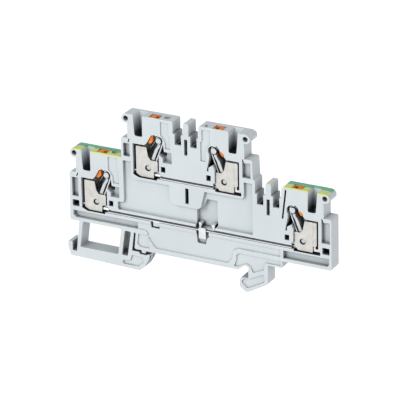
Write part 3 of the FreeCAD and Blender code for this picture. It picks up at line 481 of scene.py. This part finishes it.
def make_sheet_metal(name, light, dark, roughness, brush, marks=None):
    """Rolled sheet metal: fine rolling lines, small specks, slightly uneven tone and painted shade in gaps and
    corners.
    """
    material, tree, shader = new_material(name, light, roughness, metallic=0.85)
    colour = mix(tree, ramp(tree, noise(tree, 2.2 * MM), 0.35, 0.7), light, dark)
    specks = ramp(tree, noise(tree, 0.28 * MM, 2.0), 0.62, 0.72, 0.0, 0.35)
    colour = mix(tree, specks, colour, tuple(0.7 * c for c in dark))
    # Painted shade in gaps and corners, mixed towards near black below
    shade = highest(tree, hollow_shade(tree, *METAL_GAP_SHADE), hollow_shade(tree, *METAL_CORNER_SHADE))
    if marks:
        colour, shade = marks(tree, position_of(tree), colour, shade)
    colour = mix(tree, product(tree, shade, METAL_SHADE), colour, METAL_SHADE_BLACK)
    tree.links.new(colour, shader.inputs["Base Color"])
    lines = noise(tree, 0.12 * MM, 3.0, brush)
    rough = ramp(tree, lines, 0.3, 0.7, roughness - 0.07, roughness + 0.07)
    tree.links.new(rough, shader.inputs["Roughness"])
    bump(tree, shader, lines, 0.004 * MM, 0.5, METAL_EDGE)
    return material


def make_button_plastic():
    """Satin orange plastic with faint streaks, painted highlights on its edges, painted shade in its corners and a
    fine grain.
    """
    material, tree, shader = new_material("button_plastic", ORANGE, 0.38)
    colour = mix(tree, ramp(tree, noise(tree, 1.2 * MM, 2.0, (1, 1, 0.3)), 0.35, 0.65), *STREAK_ORANGES)
    # Painted highlight on the button's edges
    pale = product(tree, edge_highlight_mask(tree, BUTTON_HIGHLIGHT_EDGE), BUTTON_HIGHLIGHT_SHARE)
    colour = mix(tree, pale, colour, HIGHLIGHT_ORANGE)
    # Painted shade in the button's corners
    colour = mix(tree, hollow_shade(tree, *BUTTON_CORNER_SHADE), colour, CORNER_SHADE_ORANGE)
    tree.links.new(colour, shader.inputs["Base Color"])
    bump(tree, shader, noise(tree, 0.15 * MM, 2.0), 0.004 * MM, 0.5, METAL_EDGE)
    return material


def link(name, data):
    """A new object in the scene."""
    thing = bpy.data.objects.new(name, data)
    bpy.context.scene.collection.objects.link(thing)
    return thing


def merged_copy(node, name):
    """A node's mesh copied, with its loose triangles joined and its flat faces made whole."""
    mesh = bpy.data.meshes.new(name)
    work = bmesh.new()
    work.from_mesh(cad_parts[node].data)
    bmesh.ops.remove_doubles(work, verts=work.verts, dist=SAME_POINT)
    bmesh.ops.dissolve_limit(work, angle_limit=FLAT, verts=work.verts, edges=work.edges)
    work.to_mesh(mesh)
    work.free()
    return link(name, mesh)


def coat(mesh, material):
    """A mesh with one finish."""
    mesh.materials.clear()
    mesh.materials.append(material)


def paint(node, material):
    """A CAD node with its finish."""
    coat(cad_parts[node].data, material)


def stand_in(node, name, material):
    """A copy that stands for a CAD node, with its finish."""
    piece = merged_copy(node, name)
    coat(piece.data, material)
    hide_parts(node)
    return piece


def add_button(station):
    """A release button with truly rounded edges, which moves with its own body."""
    piece = stand_in("release_button_" + station, "button_" + station, orange_plastic)
    bevel = piece.modifiers.new("edges", "BEVEL")
    bevel.width = BUTTON_EDGE
    bevel.segments = 3
    bevel.limit_method = "ANGLE"
    bevel.angle_limit = SHARP
    bevel.use_clamp_overlap = False
    bevel.harden_normals = True
    for face in piece.data.polygons:
        face.use_smooth = True
    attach(piece, "button_" + station)


def add_spring(station):
    """A copy that stands for a spring's CAD node, with its finish and its place baked in."""
    piece = stand_in("clamp_spring_" + station, "spring_" + station, spring_metal)
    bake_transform(piece)


def area_light(name, location, size, power, colour=(1, 1, 1)):
    """A square soft box at a place, turned to the block."""
    data = bpy.data.lights.new(name, "AREA")
    data.size = size
    data.energy = power
    data.color = colour
    lamp = link(name, data)
    lamp.location = location
    lamp.rotation_euler = (Vector(LIGHT_TARGET) - Vector(location)).to_track_quat("-Z", "Y").to_euler()


def set_camera():
    """The photograph's camera: a long lens at the fitted angle, distance and slight roll."""
    azimuth, elevation, roll = (math.radians(v) for v in (VIEW_AZIMUTH, VIEW_ELEVATION, VIEW_ROLL))
    back = Vector((math.sin(azimuth) * math.cos(elevation), -math.cos(azimuth) * math.cos(elevation),
                   math.sin(elevation)))
    right = Vector((math.cos(azimuth), math.sin(azimuth), 0))
    up = back.cross(right)
    turned_right = right * math.cos(roll) + up * math.sin(roll)
    turned_up = up * math.cos(roll) - right * math.sin(roll)
    data = bpy.data.cameras.new("camera")
    data.sensor_width = SENSOR
    data.lens = FOCAL_PIXELS / PHOTO_PIXELS * SENSOR
    data.clip_start = 0.05
    data.clip_end = 20
    camera = link("camera", data)
    camera.matrix_world = Matrix.Translation(VIEW_TARGET + back * VIEW_DISTANCE) @ Matrix(
        (turned_right, turned_up, back)).transposed().to_4x4()
    bpy.context.scene.camera = camera


def set_surround():
    """An even pale surround for the block, which is white to the camera."""
    world = bpy.data.worlds.new("surround")
    world.use_nodes = True
    tree = world.node_tree
    dim = tree.nodes["Background"]
    dim.inputs["Strength"].default_value = SURROUND_STRENGTH
    dim.inputs["Color"].default_value = SURROUND_COLOUR
    seen = add(tree, "ShaderNodeBackground", Color=WHITE, Strength=1.0)
    paths = add(tree, "ShaderNodeLightPath").outputs
    shown = highest(tree, paths["Is Camera Ray"], paths["Is Transmission Ray"])
    either = add(tree, "ShaderNodeMixShader", i0=shown, i1=dim.outputs[0], i2=seen.outputs[0])
    tree.links.new(either.outputs[0], tree.nodes["World Output"].inputs["Surface"])
    bpy.context.scene.world = world


def add_floor():
    """A pale floor below the block, which glows to the camera and in reflections."""
    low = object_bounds()[0][2] - FLOOR_DROP
    corners = [(x * FLOOR_HALF, y * FLOOR_HALF, low) for x, y in ((-1, -1), (1, -1), (1, 1), (-1, 1))]
    mesh = bpy.data.meshes.new("floor")
    mesh.from_pydata(corners, [], [(0, 1, 2, 3)])
    floor = link("floor", mesh)
    material, tree, shader = new_material("floor_paper", PAPER, 0.9, specular=0.1)
    paths = add(tree, "ShaderNodeLightPath").outputs
    shown = highest(tree, paths["Is Camera Ray"], paths["Is Glossy Ray"], paths["Is Transmission Ray"])
    shader.inputs["Emission Color"].default_value = WHITE
    tree.links.new(product(tree, shown, FLOOR_GLOW), shader.inputs["Emission Strength"])
    mesh.materials.append(material)


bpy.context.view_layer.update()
bpy.context.scene.view_settings.view_transform = "Standard"
set_camera()
set_surround()
add_floor()
area_light("key", (-0.35, -1.15, 0.7), 0.7, 9.5)
area_light("side", (1.1, -0.35, 0.4), 0.6, 2.2, (1, 0.975, 0.96))

plastic = make_housing_plastic()
# Each metal: its two tones, its roughness, the stretch of its rolling lines along the axes, and its marks and
# painted shade
cage_metal = make_sheet_metal("cage_steel", (0.64, 0.63, 0.60), (0.54, 0.53, 0.50), 0.42, (1, 1, 12), fold_marks)
spring_metal = make_sheet_metal("spring_steel", (0.70, 0.71, 0.72), (0.56, 0.57, 0.58), 0.36, (6, 1, 1), depth_shade)
clip_metal = make_sheet_metal("clip_steel", (0.76, 0.78, 0.79), (0.60, 0.62, 0.63), 0.4, (6, 1, 1))
bar_metal = make_sheet_metal("bar_metal", (0.90, 0.93, 0.94), (0.80, 0.825, 0.835), 0.3, (0.2, 4, 4), bar_marks)
orange_plastic = make_button_plastic()

paint("housing", plastic)
for station in STATIONS:
    paint("clamp_cage_" + station, cage_metal)
    add_spring(station)
    add_button(station)
paint("current_bar_upper", bar_metal)
paint("current_bar_lower", bar_metal)
paint("centre_contact", clip_metal)
